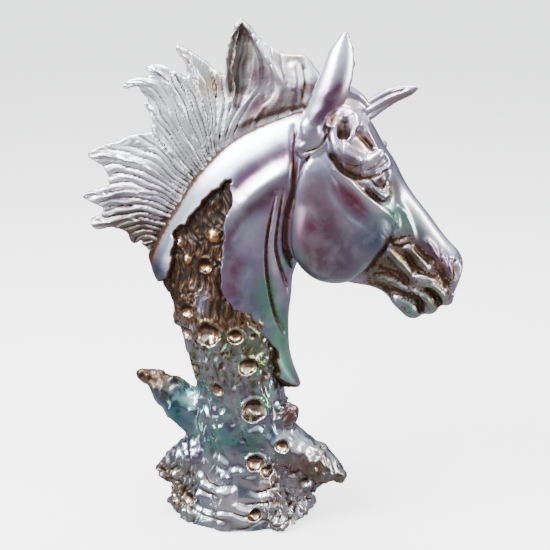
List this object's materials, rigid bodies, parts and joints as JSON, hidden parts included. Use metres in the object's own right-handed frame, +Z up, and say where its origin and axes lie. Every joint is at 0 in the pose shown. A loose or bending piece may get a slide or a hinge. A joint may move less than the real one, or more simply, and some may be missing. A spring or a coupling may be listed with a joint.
{
  "type": "horse head statuette",
  "caption": "Cast statuette of a horse's head and neck with a wild swept-back mane, rising from a rooted tree stump that is its stand.",
  "frame": {"origin": "middle of the base's flat underside", "axes": "+X the way the horse looks, +Z up, +Y to the horse's left; the picture is taken from the -Y side"},
  "size_m": [0.2916, 0.0988, 0.3896],
  "materials": {
    "plated_resin": "iridescent silver plating over cast resin, brown wash in the hollows"
  },
  "bodies": {
    "root": {"horse_head_statuette": "plated_resin"}
  },
  "joints": []
}
